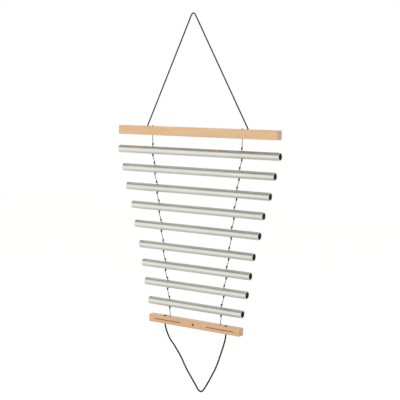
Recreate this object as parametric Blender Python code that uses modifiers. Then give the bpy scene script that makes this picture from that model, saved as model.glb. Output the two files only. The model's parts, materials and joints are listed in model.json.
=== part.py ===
"""Tube chimes: nine tuned aluminium tubes hung as a ladder between two wooden bars.

X runs along the tubes, Y away from the front and Z up. The origin is where the hanging cord
rests on its hook. Lengths are in metres.

The two side cords run from the top bar to the bottom bar, through two cross-drilled holes in
each tube. A knot under each tube carries it, and a knot above keeps it from riding up. Each
free stretch of cord hinges on the knots above it, and each tube hinges on its two upper holes.
"""
import math

import bpy
import bmesh
from mathutils import Vector

# The tubes: their lengths fall evenly with the notes of a major pentatonic run
NOTE_STEPS = (0, 2, 4, 7, 9, 12, 14, 16, 19)      # semitones above the longest tube's note
SEMITONES_PER_HALVING = 25                       # measured; a free thin tube would need 24
LONGEST_TUBE = 0.420
TUBE_RADIUS = 0.0088
TUBE_WALL = 0.0015
TUBE_CHAMFER = 0.0003
TUBE_SIDES = 28

# The ladder: drops from one axis to the next, as the knots were tied, from bar to bar
STAGE_DROPS = (0.0445, 0.0420, 0.0430, 0.0425, 0.0435, 0.0465, 0.0425, 0.0425, 0.0435, 0.0400)
HANG_DROP = 0.245                                # from the hook to the top bar's upper face
HOOK_OFFSET = 0.009                              # the ladder's middle lies this far right of the hook

# The bars
TOP_BAR_LENGTH = 0.415
TOP_BAR_SECTION = 0.020
BOTTOM_BAR_LENGTH = 0.243
BOTTOM_BAR_SECTION = 0.017
BAR_ROUNDING = 0.0012
GROOVE_INNER = 0.035                             # the two scored lines on the bottom bar's front
GROOVE_OUTER = 0.106
GROOVE_HEIGHT = 0.0016
GROOVE_DEPTH = 0.0006
DOT_RADIUS = 0.0028                              # a plain shallow dot between them
DOT_DEPTH = 0.0004

# The cords, by radius
SIDE_CORD = 0.00075
HANGING_CORD = 0.0015
HANDLE_CORD = 0.0018

# Where the cords pass, from the ladder's middle
TOP_CORD_X = 0.118
FIRST_HOLE_X = 0.117
LAST_HOLE_X = 0.069
BOTTOM_CORD_X = 0.0675
HANGING_X = 0.131
HANDLE_X = 0.082

# Knots: radius and half height
SIDE_KNOT = (0.0022, 0.0023)
HANGING_KNOT = (0.0037, 0.0030)
HANDLE_KNOT = (0.0041, 0.0033)
UPPER_KNOT_HEIGHT = 0.0041                       # of the knot above a tube, over the tube's hinge
PROUD = 0.0016                                   # how far a knot on a bar's upper face stands up
HIDDEN = 0.0010                                  # how deep a knot under a bar sits in its pocket

HOLE_PLAY = 0.0005                               # between a cord and its hole, all round
POCKET_PLAY = 0.0006                             # between a knot and its pocket, all round
CLEARANCE = 0.0003                               # between solids that touch on the real object
CORD_SIDES = 8
HOLE_SIDES = 12
DOT_SIDES = 20
OVERSHOOT = 0.002                                # how far a cutter runs past the face that it cuts

# The hanging cord's route in X and Z from the hook: two taut legs and the bend over the hook
HANGING_ROUTE = (
    (-0.1220, -0.2432), (-0.1010, -0.2000), (-0.0767, -0.1500), (-0.0524, -0.1000),
    (-0.0305, -0.0550), (-0.0159, -0.0250), (-0.0077, -0.0080), (-0.0047, -0.0019),
    (-0.0026, 0.0006), (0.0003, 0.0015), (0.0031, 0.0007), (0.0052, -0.0016),
    (0.0088, -0.0080), (0.0183, -0.0250), (0.0350, -0.0550), (0.0601, -0.1000),
    (0.0880, -0.1500), (0.1159, -0.2000), (0.1400, -0.2432),
)

# The handle cord's route in X from the ladder's middle and Z from the bottom bar's underside
HANDLE_ROUTE = (
    (-0.0820, -0.0021), (-0.0806, -0.0095), (-0.0773, -0.0190), (-0.0725, -0.0285),
    (-0.0662, -0.0377), (-0.0574, -0.0473), (-0.0489, -0.0577), (-0.0406, -0.0684),
    (-0.0339, -0.0788), (-0.0276, -0.0895), (-0.0208, -0.1001), (-0.0132, -0.1104),
    (-0.0056, -0.1206), (0.0012, -0.1295), (0.0058, -0.1359), (0.0106, -0.1417),
    (0.0168, -0.1445), (0.0228, -0.1409), (0.0276, -0.1341), (0.0336, -0.1245),
    (0.0405, -0.1123), (0.0476, -0.0993), (0.0544, -0.0865), (0.0598, -0.0742),
    (0.0645, -0.0619), (0.0688, -0.0499), (0.0730, -0.0379), (0.0769, -0.0257),
    (0.0802, -0.0139), (0.0820, -0.0021),
)

# Colour, roughness and metallic value of each material
MATERIALS = {
    "beech": ((0.70, 0.44, 0.25), 0.55, 0.0),
    "satin_aluminium": ((0.80, 0.80, 0.78), 0.35, 1.0),
    "black_cord": ((0.02, 0.02, 0.022), 0.8, 0.0),
}

SIDES = (("left", -1), ("right", 1))


def clear_scene():
    for obj in list(bpy.data.objects):
        bpy.data.objects.remove(obj, do_unlink=True)


def make_collection(name):
    collection = bpy.data.collections.new(name)
    bpy.context.scene.collection.children.link(collection)
    return collection


def make_material(name):
    colour, roughness, metallic = MATERIALS[name]
    material = bpy.data.materials.new(name)
    material.use_nodes = True
    shader = material.node_tree.nodes["Principled BSDF"]
    shader.inputs["Base Color"].default_value = (*colour, 1.0)
    shader.inputs["Roughness"].default_value = roughness
    shader.inputs["Metallic"].default_value = metallic
    return material


def place(obj, parent, where):
    """Hang an object on its parent so that it stands at a place given in world coordinates."""
    obj.parent = parent
    obj.location = where - WORLD_PLACE[parent.name]


def make_hinge(name, parent, where):
    """Make an empty on a joint's axis, to carry the pieces that turn about it."""
    hinge = bpy.data.objects.new(name, None)
    hinge.empty_display_size = 0.01
    parts.objects.link(hinge)
    WORLD_PLACE[name] = where
    if parent:
        place(hinge, parent, where)
    else:
        hinge.location = where
    return hinge


def make_object(name, data, material, parent, where):
    obj = bpy.data.objects.new(name, data)
    parts.objects.link(obj)
    obj.data.materials.append(materials[material])
    place(obj, parent, where)
    return obj


def knot_outline(centre, knot, cord):
    """A knot's outline from its top to its foot: half an ellipse standing on the cord."""
    radius, half_height = knot
    outline = []
    for degrees in (90, 45, 0, -45, -90):
        angle = math.radians(degrees)
        bulge = (radius - cord) * math.cos(angle)
        outline.append((cord + bulge, centre + half_height * math.sin(angle)))
    return outline


def round_end(height, cord, up):
    """A cord's round end about a hinge, as the outline from the axis outwards."""
    middle = math.sqrt(0.5) * cord
    return [(0.0, height + up * cord), (middle, height + up * middle), (cord, height)]


def make_turned(name, outline, material, parent, where):
    """Turn an outline of radii and heights, from top to foot, about the vertical axis."""
    mesh = bpy.data.meshes.new(name)
    verts = [(radius, 0.0, height) for radius, height in outline]
    edges = [(i, i + 1) for i in range(len(verts) - 1)]
    mesh.from_pydata(verts, edges, [])
    obj = make_object(name, mesh, material, parent, where)
    screw = obj.modifiers.new("Turn", "SCREW")
    screw.axis = "Z"
    screw.steps = CORD_SIDES
    screw.render_steps = CORD_SIDES
    screw.use_merge_vertices = True
    screw.merge_threshold = 0.00001
    weld = obj.modifiers.new("Close the poles", "WELD")
    weld.merge_threshold = 0.00001
    return obj


def add_cutter(target, cutter, where):
    """Cut a target with a closed mesh that stays hidden."""
    cutter.location = where
    cutter.hide_render = True
    cutter.display_type = "WIRE"
    cutters.objects.link(cutter)
    cut = target.modifiers.new(cutter.name, "BOOLEAN")
    cut.operation = "DIFFERENCE"
    cut.solver = "EXACT"
    cut.object = cutter


def drill(target, label, x, top, foot, radius):
    """Drill a vertical hole in a target between two heights, at a distance from the ladder's middle."""
    mesh = bpy.data.meshes.new(label)
    shape = bmesh.new()
    bmesh.ops.create_cone(shape, cap_ends=True, segments=HOLE_SIDES, radius1=radius, radius2=radius,
                          depth=top - foot)
    shape.to_mesh(mesh)
    shape.free()
    where = Vector((HOOK_OFFSET + x, 0.0, (top + foot) / 2))
    add_cutter(target, bpy.data.objects.new(label, mesh), where)


def score(target, label, x_from, x_to, height, face_y):
    """Score a level line into a target's front face."""
    mesh = bpy.data.meshes.new(label)
    shape = bmesh.new()
    bmesh.ops.create_cube(shape, size=1.0)
    bmesh.ops.scale(shape, verts=shape.verts, vec=(x_to - x_from, 2 * GROOVE_DEPTH, GROOVE_HEIGHT))
    shape.to_mesh(mesh)
    shape.free()
    where = Vector((HOOK_OFFSET + (x_from + x_to) / 2, face_y, height))
    add_cutter(target, bpy.data.objects.new(label, mesh), where)


def sink_dot(target, label, height, face_y):
    """Sink a shallow round dot into a target's front face, in the ladder's middle."""
    mesh = bpy.data.meshes.new(label)
    shape = bmesh.new()
    bmesh.ops.create_cone(shape, cap_ends=True, segments=DOT_SIDES, radius1=DOT_RADIUS, radius2=DOT_RADIUS,
                          depth=2 * DOT_DEPTH)
    shape.to_mesh(mesh)
    shape.free()
    cutter = bpy.data.objects.new(label, mesh)
    cutter.rotation_euler = (math.radians(90), 0.0, 0.0)
    add_cutter(target, cutter, Vector((HOOK_OFFSET, face_y, height)))


def make_bar(name, length, section, parent, centre):
    """A square bar with rounded edges."""
    mesh = bpy.data.meshes.new(name)
    shape = bmesh.new()
    bmesh.ops.create_cube(shape, size=1.0)
    bmesh.ops.scale(shape, verts=shape.verts, vec=(length, section, section))
    shape.to_mesh(mesh)
    shape.free()
    bar = make_object(name, mesh, "beech", parent, centre)
    rounding = bar.modifiers.new("Rounded edges", "BEVEL")
    rounding.width = BAR_ROUNDING
    rounding.segments = 2
    return bar


def make_tube(number, length, hole_x, parent, axis_place):
    """A tube turned from its wall's outline, with its ends chamfered and two cross holes."""
    outer = TUBE_RADIUS
    inner = TUBE_RADIUS - TUBE_WALL
    half = length / 2
    outline = [
        (inner, half), (outer - TUBE_CHAMFER, half), (outer, half - TUBE_CHAMFER),
        (outer, TUBE_CHAMFER - half), (outer - TUBE_CHAMFER, -half), (inner, -half),
    ]
    mesh = bpy.data.meshes.new(f"tube_{number}")
    verts = [(radius, 0.0, height) for radius, height in outline]
    edges = [(i, (i + 1) % len(verts)) for i in range(len(verts))]
    mesh.from_pydata(verts, edges, [])
    tube = make_object(f"tube_{number}", mesh, "satin_aluminium", parent, axis_place)
    tube.rotation_euler = (0.0, math.radians(90), 0.0)
    screw = tube.modifiers.new("Turn", "SCREW")
    screw.axis = "Z"
    screw.steps = TUBE_SIDES
    screw.render_steps = TUBE_SIDES
    screw.use_merge_vertices = True
    screw.merge_threshold = 0.00001
    reach = outer + OVERSHOOT
    for side, sign in SIDES:
        drill(tube, f"tube_{number}_hole_{side}", sign * hole_x, axis_place.z + reach,
              axis_place.z - reach, SIDE_CORD + HOLE_PLAY)
    return tube


def smooth_path(route, spacing):
    """Even points along a Catmull-Rom curve through a route's points."""
    points = [Vector((x, 0.0, z)) for x, z in route]
    ends = [2 * points[0] - points[1]] + points + [2 * points[-1] - points[-2]]
    fine = []
    for i in range(1, len(ends) - 2):
        before, start, end, after = ends[i - 1:i + 3]
        for step in range(20):
            t = step / 20
            fine.append(0.5 * (2 * start + (end - before) * t
                               + (2 * before - 5 * start + 4 * end - after) * t ** 2
                               + (3 * start - before - 3 * end + after) * t ** 3))
    fine.append(points[-1])
    travelled = [0.0]
    for a, b in zip(fine, fine[1:]):
        travelled.append(travelled[-1] + (b - a).length)
    length = travelled[-1]
    count = round(length / spacing)
    even = []
    index = 0
    for k in range(count + 1):
        goal = length * k / count
        while index < len(fine) - 2 and travelled[index + 1] < goal:
            index += 1
        share = (goal - travelled[index]) / (travelled[index + 1] - travelled[index])
        even.append(fine[index].lerp(fine[index + 1], share))
    return even, length


def make_free_cord(name, route, radius, parent, start):
    """A free cord as a round tube along its route, in coordinates from a start place."""
    points, length = smooth_path(route, 6 * radius)
    curve = bpy.data.curves.new(name, "CURVE")
    curve.dimensions = "3D"
    curve.bevel_depth = radius
    curve.bevel_resolution = 2
    curve.use_fill_caps = True
    spline = curve.splines.new("POLY")
    spline.points.add(len(points) - 1)
    pivot = WORLD_PLACE[parent.name]
    for point, target in zip(spline.points, points):
        point.co = (*(target + start - pivot), 1.0)
    make_object(name, curve, "black_cord", parent, pivot)
    print(f"{name}: {length:.4f} m long, {len(points)} points")


def make_bar_knot(name, x, outline, parent, height):
    """The end of a cord inside a bar: its stretch through the hole and the knot in its pocket."""
    make_turned(name, outline, "black_cord", parent, Vector((HOOK_OFFSET + x, 0.0, height)))


def make_stage_cords(stage, upper_x, lower_x, upper_z, lower_z, with_knot, parent):
    """The two free stretches of side cord from one pair of knots down to the next hinge."""
    for side, sign in SIDES:
        start = Vector((HOOK_OFFSET + sign * upper_x, 0.0, upper_z))
        end = Vector((HOOK_OFFSET + sign * lower_x, 0.0, lower_z))
        length = (end - start).length
        outline = round_end(0.0, SIDE_CORD, 1)
        if with_knot:
            outline += knot_outline(UPPER_KNOT_HEIGHT - length, SIDE_KNOT, SIDE_CORD)
        outline += reversed(round_end(-length, SIDE_CORD, -1))
        cord = make_turned(f"side_cord_{side}_{stage}", outline, "black_cord", parent, start)
        cord.rotation_euler = (0.0, -math.asin((end.x - start.x) / length), 0.0)


def hole_place(number):
    """The tubes' holes lie on a straight line that narrows from the first tube to the last."""
    return FIRST_HOLE_X + (LAST_HOLE_X - FIRST_HOLE_X) * (number - 1) / (len(NOTE_STEPS) - 1)


clear_scene()
parts = make_collection("tube_chimes")
cutters = make_collection("cutters")
materials = {name: make_material(name) for name in MATERIALS}
WORLD_PLACE = {}

# The hanging cord is fixed on its hook, and all the rest hangs on it
hook = make_hinge("hook", None, Vector((0.0, 0.0, 0.0)))
make_free_cord("hanging_cord", HANGING_ROUTE, HANGING_CORD, hook, Vector((0.0, 0.0, 0.0)))

# The top bar tilts on the feet of the hanging cord
top_face = -HANG_DROP
top_centre = top_face - TOP_BAR_SECTION / 2
top_underside = top_face - TOP_BAR_SECTION
bar_hinge = make_hinge("top_bar_hinge", hook, Vector((HOOK_OFFSET, 0.0, top_face + CLEARANCE + HANGING_CORD)))
top_bar = make_bar("top_bar", TOP_BAR_LENGTH, TOP_BAR_SECTION, bar_hinge, Vector((HOOK_OFFSET, 0.0, top_centre)))
for side, sign in SIDES:
    # the hanging cord's knot is hidden in a deep pocket under the bar
    knot_radius, knot_half = HANGING_KNOT
    pocket_depth = HIDDEN + 2 * knot_half + CLEARANCE
    drill(top_bar, f"hanging_hole_{side}", sign * HANGING_X, top_face + OVERSHOOT, top_underside - OVERSHOOT,
          HANGING_CORD + HOLE_PLAY)
    drill(top_bar, f"hanging_pocket_{side}", sign * HANGING_X, top_underside + pocket_depth,
          top_underside - OVERSHOOT, knot_radius + POCKET_PLAY)
    knot_centre = top_underside + HIDDEN + knot_half - top_face
    outline = [(0.0, 0.0), (HANGING_CORD, 0.0)]
    outline += knot_outline(knot_centre, HANGING_KNOT, HANGING_CORD)
    outline.append((0.0, knot_centre - knot_half))
    make_bar_knot(f"hanging_knot_{side}", sign * HANGING_X, outline, bar_hinge, top_face)

    # the side cord's knot stands a little proud of a shallow pocket in the upper face
    knot_radius, knot_half = SIDE_KNOT
    pocket_depth = 2 * knot_half + CLEARANCE - PROUD
    drill(top_bar, f"side_hole_{side}", sign * TOP_CORD_X, top_face + OVERSHOOT, top_underside - OVERSHOOT,
          SIDE_CORD + HOLE_PLAY)
    drill(top_bar, f"side_pocket_{side}", sign * TOP_CORD_X, top_face + OVERSHOOT, top_face - pocket_depth,
          knot_radius + POCKET_PLAY)
    outline = [(0.0, PROUD)]
    outline += knot_outline(PROUD - knot_half, SIDE_KNOT, SIDE_CORD)
    outline += [(SIDE_CORD, -TOP_BAR_SECTION), (0.0, -TOP_BAR_SECTION)]
    make_bar_knot(f"top_knot_{side}", sign * TOP_CORD_X, outline, bar_hinge, top_face)

# Nine stages of cord and tube
hinge_rise = TUBE_RADIUS + CLEARANCE + SIDE_CORD         # the tube's hinge, above its axis
knot_radius, knot_half = SIDE_KNOT
knot_drop = TUBE_RADIUS + CLEARANCE + knot_half          # the carrying knot's middle, below the axis
cord_drop = knot_drop + knot_half + CLEARANCE + SIDE_CORD
carrier = bar_hinge
upper_x = TOP_CORD_X
upper_z = top_underside - CLEARANCE - SIDE_CORD
axis_z = top_centre
for number, semitones in enumerate(NOTE_STEPS, start=1):
    axis_z -= STAGE_DROPS[number - 1]
    hole_x = hole_place(number)
    tube_length = LONGEST_TUBE * 2 ** (-semitones / SEMITONES_PER_HALVING)
    cord_hinge = make_hinge(f"cord_hinge_{number}", carrier, Vector((HOOK_OFFSET, 0.0, upper_z)))
    make_stage_cords(number, upper_x, hole_x, upper_z, axis_z + hinge_rise, True, cord_hinge)
    tube_hinge = make_hinge(f"tube_hinge_{number}", cord_hinge, Vector((HOOK_OFFSET, 0.0, axis_z + hinge_rise)))
    make_tube(number, tube_length, hole_x, tube_hinge, Vector((HOOK_OFFSET, 0.0, axis_z)))
    for side, sign in SIDES:
        outline = [(0.0, TUBE_RADIUS), (SIDE_CORD, TUBE_RADIUS)]
        outline += knot_outline(-knot_drop, SIDE_KNOT, SIDE_CORD)
        outline.append((0.0, -knot_drop - knot_half))
        make_bar_knot(f"tube_knot_{side}_{number}", sign * hole_x, outline, tube_hinge, axis_z)
    carrier = tube_hinge
    upper_x = hole_x
    upper_z = axis_z - cord_drop
    print(f"tube_{number}: {tube_length * 1000:.1f} mm long, axis at {axis_z * 1000:.1f} mm")

# The bottom bar and its handle cord
last_stage = len(NOTE_STEPS) + 1
bottom_centre = axis_z - STAGE_DROPS[-1]
bottom_face = bottom_centre + BOTTOM_BAR_SECTION / 2
bottom_underside = bottom_centre - BOTTOM_BAR_SECTION / 2
foot_hinge_z = bottom_face + CLEARANCE + SIDE_CORD
cord_hinge = make_hinge(f"cord_hinge_{last_stage}", carrier, Vector((HOOK_OFFSET, 0.0, upper_z)))
make_stage_cords(last_stage, upper_x, BOTTOM_CORD_X, upper_z, foot_hinge_z, False, cord_hinge)
foot_hinge = make_hinge("bottom_bar_hinge", cord_hinge, Vector((HOOK_OFFSET, 0.0, foot_hinge_z)))
bottom_bar = make_bar("bottom_bar", BOTTOM_BAR_LENGTH, BOTTOM_BAR_SECTION, foot_hinge,
                      Vector((HOOK_OFFSET, 0.0, bottom_centre)))
for side, sign in SIDES:
    # the side cord's last knot is hidden in a pocket under the bar
    knot_radius, knot_half = SIDE_KNOT
    pocket_depth = HIDDEN + 2 * knot_half + CLEARANCE
    drill(bottom_bar, f"foot_hole_{side}", sign * BOTTOM_CORD_X, bottom_face + OVERSHOOT,
          bottom_underside - OVERSHOOT, SIDE_CORD + HOLE_PLAY)
    drill(bottom_bar, f"foot_pocket_{side}", sign * BOTTOM_CORD_X, bottom_underside + pocket_depth,
          bottom_underside - OVERSHOOT, knot_radius + POCKET_PLAY)
    knot_centre = bottom_underside + HIDDEN + knot_half - bottom_face
    outline = [(0.0, 0.0), (SIDE_CORD, 0.0)]
    outline += knot_outline(knot_centre, SIDE_KNOT, SIDE_CORD)
    outline.append((0.0, knot_centre - knot_half))
    make_bar_knot(f"foot_knot_{side}", sign * BOTTOM_CORD_X, outline, foot_hinge, bottom_face)

    # the handle cord's knot stands a little proud of the upper face
    knot_radius, knot_half = HANDLE_KNOT
    pocket_depth = 2 * knot_half + CLEARANCE - PROUD
    drill(bottom_bar, f"handle_hole_{side}", sign * HANDLE_X, bottom_face + OVERSHOOT,
          bottom_underside - OVERSHOOT, HANDLE_CORD + HOLE_PLAY)
    drill(bottom_bar, f"handle_pocket_{side}", sign * HANDLE_X, bottom_face + OVERSHOOT,
          bottom_face - pocket_depth, knot_radius + POCKET_PLAY)
    outline = [(0.0, PROUD)]
    outline += knot_outline(PROUD - knot_half, HANDLE_KNOT, HANDLE_CORD)
    outline += [(HANDLE_CORD, -BOTTOM_BAR_SECTION), (0.0, -BOTTOM_BAR_SECTION)]
    make_bar_knot(f"handle_knot_{side}", sign * HANDLE_X, outline, foot_hinge, bottom_face)

    inner, outer = sorted((sign * GROOVE_INNER, sign * GROOVE_OUTER))
    score(bottom_bar, f"scored_line_{side}", inner, outer, bottom_centre, -BOTTOM_BAR_SECTION / 2)

sink_dot(bottom_bar, "dot", bottom_centre, -BOTTOM_BAR_SECTION / 2)
handle_hinge = make_hinge("handle_hinge", foot_hinge,
                          Vector((HOOK_OFFSET, 0.0, bottom_underside - CLEARANCE - HANDLE_CORD)))
make_free_cord("handle_cord", HANDLE_ROUTE, HANDLE_CORD, handle_hinge,
               Vector((HOOK_OFFSET, 0.0, bottom_underside)))
print(f"bottom bar's underside at {bottom_underside * 1000:.1f} mm")
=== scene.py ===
# %% [markdown]
# # Tube chimes
# Nine aluminium tubes hang one under another between two beech bars. Two thin braided cords run
# down through cross-drilled holes in every tube, with a knot under each tube to carry it and one
# above to keep it down. A longer cord hangs the ladder on a hook, and a thick one under the
# bottom bar is the handle. The imported model already holds the true sizes and the joints, so
# this lesson only gives each piece its surface: tied knots, braid, drawn metal and wood.
#
# The model is loaded first, and its parts are kept, so that the finished pieces can take their sizes and places
# from them.

# %% Load the imported model
import json
import math

import bpy
import numpy as np
from mathutils import Matrix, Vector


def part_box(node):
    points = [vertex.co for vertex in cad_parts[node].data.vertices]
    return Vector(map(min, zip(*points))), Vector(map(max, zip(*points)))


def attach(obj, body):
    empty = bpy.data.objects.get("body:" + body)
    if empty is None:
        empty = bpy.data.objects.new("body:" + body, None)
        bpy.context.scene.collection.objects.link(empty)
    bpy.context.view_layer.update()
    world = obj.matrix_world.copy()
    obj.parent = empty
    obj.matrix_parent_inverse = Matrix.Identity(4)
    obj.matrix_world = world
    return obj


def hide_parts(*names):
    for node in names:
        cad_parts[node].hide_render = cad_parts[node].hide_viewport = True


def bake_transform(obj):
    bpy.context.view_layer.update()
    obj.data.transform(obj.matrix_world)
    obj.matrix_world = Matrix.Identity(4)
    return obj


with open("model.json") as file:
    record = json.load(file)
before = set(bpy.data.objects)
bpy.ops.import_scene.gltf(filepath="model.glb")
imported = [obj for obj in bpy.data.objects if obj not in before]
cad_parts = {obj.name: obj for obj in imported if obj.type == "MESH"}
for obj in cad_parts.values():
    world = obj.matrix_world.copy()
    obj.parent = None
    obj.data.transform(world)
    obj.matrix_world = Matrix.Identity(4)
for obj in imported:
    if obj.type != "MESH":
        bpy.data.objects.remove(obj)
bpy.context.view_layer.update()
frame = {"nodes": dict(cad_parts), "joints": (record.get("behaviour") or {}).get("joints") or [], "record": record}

# %% [markdown]
# ## The camera
# The camera stands to the right of the chimes, about two metres away and a little above the top
# bar, and looks slightly down. Its angles and its distance were fitted to the ends of the nine
# tubes, whose lengths are known. A focal length counted in pixels of the square picture becomes
# a lens in millimetres once it is set against the sensor's width.

# %% Camera
FRAME_PIXELS = 400
FOCAL_PIXELS = 930.0
SENSOR_WIDTH = 36.0
CAMERA_PLACE = (1.1371, -1.6974, -0.1554)
CAMERA_YAW = math.radians(33.339)
CAMERA_PITCH = math.radians(-6.971)
CAMERA_ROLL = math.radians(0.381)


def camera_axes(yaw, pitch, roll):
    """Right, up and forward: a level camera is turned by yaw, tipped by pitch and then rolled."""
    level, rise = math.cos(pitch), math.sin(pitch)
    forward = np.array([-math.sin(yaw) * level, math.cos(yaw) * level, rise])
    level_right = np.array([math.cos(yaw), math.sin(yaw), 0.0])
    level_up = np.cross(level_right, forward)
    right = math.cos(roll) * level_right + math.sin(roll) * level_up
    up = math.cos(roll) * level_up - math.sin(roll) * level_right
    return right, up, forward


camera = bpy.data.objects.new("camera", bpy.data.cameras.new("camera"))
bpy.context.scene.collection.objects.link(camera)
camera.data.sensor_fit = "HORIZONTAL"
camera.data.sensor_width = SENSOR_WIDTH
camera.data.lens = FOCAL_PIXELS * SENSOR_WIDTH / FRAME_PIXELS
right, up, forward = camera_axes(CAMERA_YAW, CAMERA_PITCH, CAMERA_ROLL)
turned = np.eye(4)
turned[:3] = np.column_stack([right, up, -forward, CAMERA_PLACE])
camera.matrix_world = Matrix(turned.tolist())
bpy.context.scene.camera = camera
print("lens", round(camera.data.lens, 1), "mm")

# %% [markdown]
# ## Surfaces from numbers
# Nearly every piece here is a round section carried along a line: a cord along its route, a wall
# turned about an axis, a bar along its length. Each is a grid of points, one ring after another.
# One function joins such a grid with faces. Rings always run so that a ring's turning and the
# way along the line are right-handed, and then every face looks outwards.

# %% A grid of rings made into a piece
def make_piece(name, verts, faces, finishes):
    """A smooth-shaded object that stands at the origin, with its place in its mesh."""
    mesh = bpy.data.meshes.new(name)
    mesh.from_pydata(verts.tolist(), [], faces)
    for finish in finishes:
        mesh.materials.append(finish)
    mesh.shade_smooth()
    piece = bpy.data.objects.new(name, mesh)
    bpy.context.scene.collection.objects.link(piece)
    return piece


def ring_corners(index):
    """The four corners of every face between neighbouring rings, from an index grid."""
    return np.stack([index[:-1, :-1], index[:-1, 1:], index[1:, 1:], index[1:, :-1]], axis=-1)


def join_rings(name, rings, finishes, closes=False, pattern=None):
    """Join a grid of rings (ring, point, xyz) into a closed piece.

    Each ring closes on itself. The last ring joins the first where closes is true, and otherwise
    the two end rings are filled with one flat face each. A pattern (ring, point + 1, uv) becomes
    the piece's UV map, and has one point more a ring, so that it runs on over the seam.
    """
    count, sides = rings.shape[:2]
    index = np.arange(count * sides).reshape(count, sides)
    index = np.concatenate([index, index[:, :1]], axis=1)
    if closes:
        index = np.concatenate([index, index[:1]])
    faces = ring_corners(index).reshape(-1, 4).tolist()
    if not closes:
        faces.append(index[0, -2::-1].tolist())
        faces.append(index[-1, :-1].tolist())
    piece = make_piece(name, rings.reshape(-1, 3), faces, finishes)
    if pattern is not None:
        corners = pattern.reshape(-1, 2)[ring_corners(np.arange(count * (sides + 1)).reshape(count, -1))]
        ends = np.zeros((2 * sides, 2))
        layer = piece.data.uv_layers.new(name="pattern")
        layer.data.foreach_set("uv", np.concatenate([corners.reshape(-1, 2), ends]).ravel())
    return piece


def box_corners(node):
    """The lowest and the highest corner of a node's box, one above the other."""
    return np.array([list(corner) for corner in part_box(node)])


def middle(node):
    """The centre of a node's box."""
    low, high = box_corners(node)
    return (low + high) / 2


HINGE = {joint["name"]: np.array(joint["pos_m"]) for joint in frame["joints"]}
MATERIAL_SLOTS = [material["slot"] for material in frame["record"]["materials"]]
print(len(frame["nodes"]), "nodes,", len(HINGE), "joints, finishes", MATERIAL_SLOTS)

# %% [markdown]
# ## Lines for the cords
# A cord is a round section carried along a smooth line. The line comes from a few points, by
# the Catmull-Rom rule that the solids follow too, so that the visible cord lies in its solid.
# A section needs two directions square to the line at every point. They are carried from point
# to point with the least turning, by two reflections a step, so that the braid isn't twisted.

# %% Smooth lines and the frames along them
STEPS_A_SPAN = 40
NO_BEND = 1e-18                                  # a step's bend, squared, too small to turn anything


def distance_along(line):
    """How far along a line each of its points lies: the lengths of the spans, added up."""
    return np.concatenate([[0.0], np.cumsum(np.linalg.norm(np.diff(line, axis=0), axis=1))])


def even_points(points, spacing):
    """Points at equal distances along a line; columns past the third are carried along with it."""
    travelled = distance_along(points[:, :3])
    even = np.linspace(0.0, travelled[-1], round(travelled[-1] / spacing) + 1)
    return np.stack([np.interp(even, travelled, column) for column in points.T], axis=1)


def smooth_line(route, spacing):
    """A Catmull-Rom curve: each span is a cubic that leaves along the chord of its neighbours."""
    route = np.asarray(route, float)
    ends = np.concatenate([2 * route[:1] - route[1:2], route, 2 * route[-1:] - route[-2:-1]])
    before, start, end, after = (ends[i:len(ends) - 3 + i, None] for i in range(4))
    t = np.linspace(0.0, 1.0, STEPS_A_SPAN, endpoint=False)[:, None]
    curve = 0.5 * (2 * start + (end - before) * t + (2 * before - 5 * start + 4 * end - after) * t ** 2
                   + (3 * start - before - 3 * end + after) * t ** 3)
    return even_points(np.concatenate([curve.reshape(-1, 3), route[-1:]]), spacing)


def relax(points, rounds):
    """Ease a line's corners: each point moves half of the way to the middle of its neighbours."""
    for _ in range(rounds):
        points[1:-1] += 0.25 * (points[:-2] - 2 * points[1:-1] + points[2:])
    return points


def frames_along(line):
    """Two directions square to the line at every point, carried along it by double reflection."""
    tangents = np.gradient(line, axis=0)
    tangents /= np.linalg.norm(tangents, axis=1, keepdims=True)
    side = np.empty_like(line)
    side[0] = np.cross(tangents[0], (0.0, 1.0, 0.0))
    side[0] /= np.linalg.norm(side[0])
    for i, step in enumerate(np.diff(line, axis=0)):
        over = 2 / (step @ step)
        mirrored_side = side[i] - over * (step @ side[i]) * step
        bend = tangents[i + 1] - tangents[i] + over * (step @ tangents[i]) * step
        size = bend @ bend
        side[i + 1] = mirrored_side
        if size > NO_BEND:
            side[i + 1] -= 2 / size * (bend @ mirrored_side) * bend
    return side, np.cross(tangents, side)


arch = smooth_line([(-1.0, 0.0, 0.0), (0.0, 0.0, 1.0), (1.0, 0.0, 0.0)], 0.01)
print(f"an arch through three points is {distance_along(arch)[-1]:.2f} long, over chords of 2.83")

# %% [markdown]
# ## Braid
# The cords are plain braids: one family of strands winds one way, another the other way, and
# they cross over and under in turn. A texture could fake that, but the cords are seen against
# white, where their beaded outline shows. So the relief is in the mesh: the height over each
# point comes from counting the strands of both families that were passed there.

# %% The braid's relief and a braided cord
def braid_counts(around, along, strands, pitch):
    """How many strands of either family are passed at an angle and a distance.

    Each family has as many strands as fit round the cord, and one strand's turn takes strands
    times pitch of length. One count grows with the distance and the other falls.
    """
    turned_past = strands * around / (2 * np.pi)
    return turned_past + along / pitch, turned_past - along / pitch


def braid_height(first, second):
    """The crown of the strand on top, from 0 in the grooves to 1.

    Where the whole counts add to an even number the first family is on top. A crown is a half
    sine to the power 0.6 across its strand, and to the power 0.25 along it.
    """
    first_sine = np.sin(np.pi * (first % 1.0))
    second_sine = np.sin(np.pi * (second % 1.0))
    first_on_top = (np.floor(first) + np.floor(second)) % 2 == 0
    across = np.where(first_on_top, first_sine, second_sine)
    lengthwise = np.where(first_on_top, second_sine, first_sine)
    return across ** 0.6 * lengthwise ** 0.25


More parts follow.
